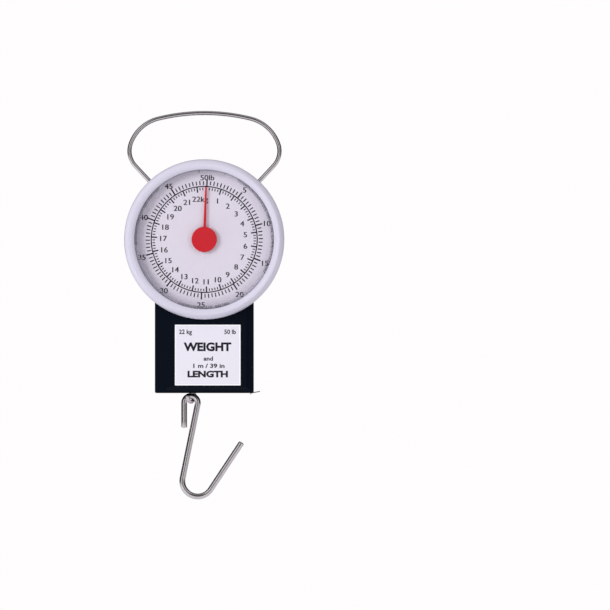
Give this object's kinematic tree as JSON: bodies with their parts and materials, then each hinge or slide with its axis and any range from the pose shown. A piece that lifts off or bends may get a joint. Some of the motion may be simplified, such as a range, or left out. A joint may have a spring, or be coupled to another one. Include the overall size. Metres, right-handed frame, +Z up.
{
  "type": "hanging spring scale",
  "caption": "Portable hanging dial scale with a wire carrying handle, a swinging open hook below and a pull-out tape measure in its lower case.",
  "frame": {"origin": "underside of the handle wire at the middle of the grip, on the plane in which the load hangs", "axes": "+Z up along the hanging line; the dial faces -Y; +X to the right of the dial"},
  "size_m": [0.096, 0.031, 0.2334],
  "materials": {
    "black_plastic": "satin moulded blue-black plastic",
    "white_plastic": "smooth gloss",
    "clear_lens": "clear moulded plastic",
    "dial_face": "printed matt white",
    "printed_label": "printed, satin",
    "chrome_wire": "polished",
    "zinc_steel": "zinc plated",
    "spring_steel": "oiled",
    "brass": "machined",
    "white_nylon": "moulded",
    "red_pointer": "satin red",
    "tape_strip": "printed tape",
    "bright_steel": "bright"
  },
  "bodies": {
    "case": {"front_case": "black_plastic", "rear_case": "black_plastic", "case_screws": "zinc_steel", "bezel_ring": "white_plastic", "lens": "clear_lens", "dial_plate": "dial_face", "label": "printed_label", "handle": "chrome_wire", "handle_washers": "zinc_steel", "frame_plate": "zinc_steel", "frame_screws": "zinc_steel", "bridge_posts": "zinc_steel", "bearing_bridge": "zinc_steel", "bridge_screws": "zinc_steel", "pinion_bushes": "brass", "rack_guide": "white_nylon", "main_spring": "spring_steel", "tape_axle": "zinc_steel", "drum_clip": "zinc_steel"},
    "carriage": {"carriage": "zinc_steel", "spring_pin": "zinc_steel", "rack": "white_nylon", "rack_rivets": "zinc_steel"},
    "load_rod": {"load_rod": "chrome_wire", "rod_collar": "chrome_wire"},
    "hook": {"hook": "chrome_wire"},
    "pointer": {"pinion": "brass", "pinion_shaft": "zinc_steel", "pointer": "red_pointer"},
    "zero_wheel": {"zero_wheel": "black_plastic"},
    "anchor": {"spring_anchor": "zinc_steel"},
    "tape": {"tape_blade": "tape_strip", "tape_end_tab": "bright_steel", "tape_rivets": "bright_steel"},
    "tape_reel": {"tape_drum": "white_nylon", "power_spring": "spring_steel", "tape_coil": "tape_strip"}
  },
  "joints": [
    {"name": "load_slide", "type": "slide", "parent": "case", "child": "carriage", "axis": [0, 0, -1], "range_m": [0, 0.01256], "stiffness_N_per_m": 17700, "deforming": ["main_spring"]},
    {"name": "pointer_turn", "type": "hinge", "parent": "case", "child": "pointer", "pos_m": [0, 0, -0.0747], "axis": [0, 1, 0], "range_deg": [0, 360]},
    {"name": "rod_swivel", "type": "hinge", "parent": "carriage", "child": "load_rod", "pos_m": [-0.0081, 0, -0.1032], "axis": [0, 0, 1], "continuous": true},
    {"name": "hook_swing", "type": "hinge", "parent": "load_rod", "child": "hook", "pos_m": [-0.0081, 0, -0.17273], "axis": [0, 1, 0], "range_deg": [-38, 60]},
    {"name": "zero_turn", "type": "hinge", "parent": "case", "child": "zero_wheel", "pos_m": [-0.0081, 0, -0.04], "axis": [0, 0, 1], "range_deg": [-540, 540]},
    {"name": "zero_lift", "type": "slide", "parent": "case", "child": "anchor", "axis": [0, 0, 1], "range_m": [-0.00106, 0.00106]},
    {"name": "tape_pull", "type": "slide", "parent": "case", "child": "tape", "axis": [1, 0, 0], "range_m": [0, 0.98], "stiffness_N_per_m": 0.6, "springref_m": -2},
    {"name": "reel_turn", "type": "hinge", "parent": "case", "child": "tape_reel", "pos_m": [0.01, 0, -0.1528], "axis": [0, 1, 0], "range_deg": [-5640, 0]}
  ],
  "couplings": [
    {"joint": "pointer_turn", "follows": "load_slide", "rad_per_m": 500},
    {"joint": "zero_lift", "follows": "zero_turn", "m_per_rad": -0.00011141},
    {"joint": "reel_turn", "follows": "tape_pull", "rad_per_m": -100}
  ]
}
